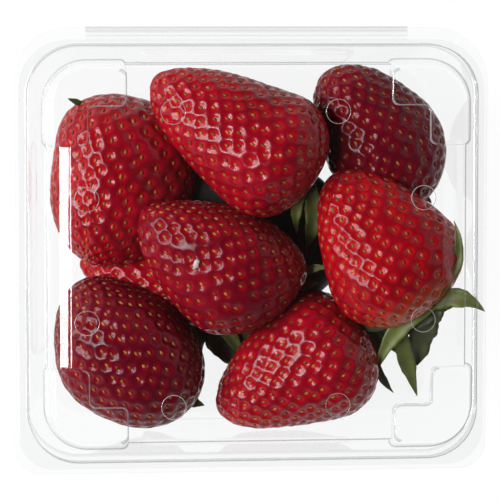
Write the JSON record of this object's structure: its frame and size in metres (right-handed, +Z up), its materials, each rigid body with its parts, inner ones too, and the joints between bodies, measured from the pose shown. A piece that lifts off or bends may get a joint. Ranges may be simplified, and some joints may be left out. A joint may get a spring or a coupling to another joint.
{
  "type": "punnet of strawberries",
  "caption": "Shut clear plastic clamshell punnet, wider than deep, with rounded corners, stacking lugs and vent holes in its hinged lid, filled with large ripe strawberries",
  "frame": {"origin": "centre of the bounding box in X and Y, on the plane that the tub's floor rests on", "axes": "+Z up, +Y towards the hinge at the back, X along the hinge and the longest side; -Y is the front that opens"},
  "size_m": [0.12, 0.1124, 0.0492],
  "materials": {
    "clear_tub": "clear thin formed plastic, glossy",
    "clear_lid": "clear thin formed plastic, glossy, slightly hazy",
    "fruit": "ripe strawberry skin, dimpled and glossy, with ochre seeds and green leaves"
  },
  "bodies": {
    "tub": {"tub": "clear_tub", "strawberries": "fruit"},
    "lid": {"lid": "clear_lid"}
  },
  "joints": [
    {"name": "lid_hinge", "type": "hinge", "parent": "tub", "child": "lid", "pos_m": [0, 0.0562, 0.0362], "axis": [-1, 0, 0], "range_deg": [0, 180]}
  ]
}
